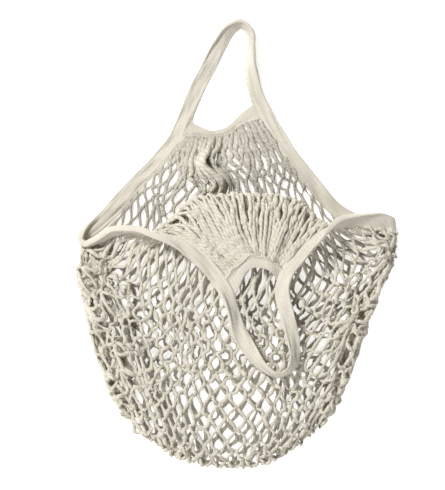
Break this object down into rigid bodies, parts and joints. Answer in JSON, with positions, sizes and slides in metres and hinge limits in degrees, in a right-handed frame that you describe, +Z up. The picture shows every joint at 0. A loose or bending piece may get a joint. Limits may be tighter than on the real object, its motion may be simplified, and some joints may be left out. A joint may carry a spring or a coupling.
{
  "type": "mesh shopping bag",
  "caption": "String shopping bag of cotton net with a knitted tape binding and loop handles, lying on its back with its front handle folded down.",
  "frame": {"origin": "on the surface the bag lies on, under the middle of its box", "axes": "+Z up out of the surface, +Y from the bottom of the bag to its back handle, +X from its left side to its right"},
  "size_m": [0.3994, 0.5556, 0.0583],
  "materials": {
    "cotton_net": "unbleached cotton yarn",
    "cotton_tape": "unbleached rib-knit cotton tape"
  },
  "bodies": {
    "root": {"net_body": "cotton_net", "loop_tape": "cotton_tape", "back_gather_tape": "cotton_tape", "front_gather_tape": "cotton_tape"}
  },
  "joints": []
}
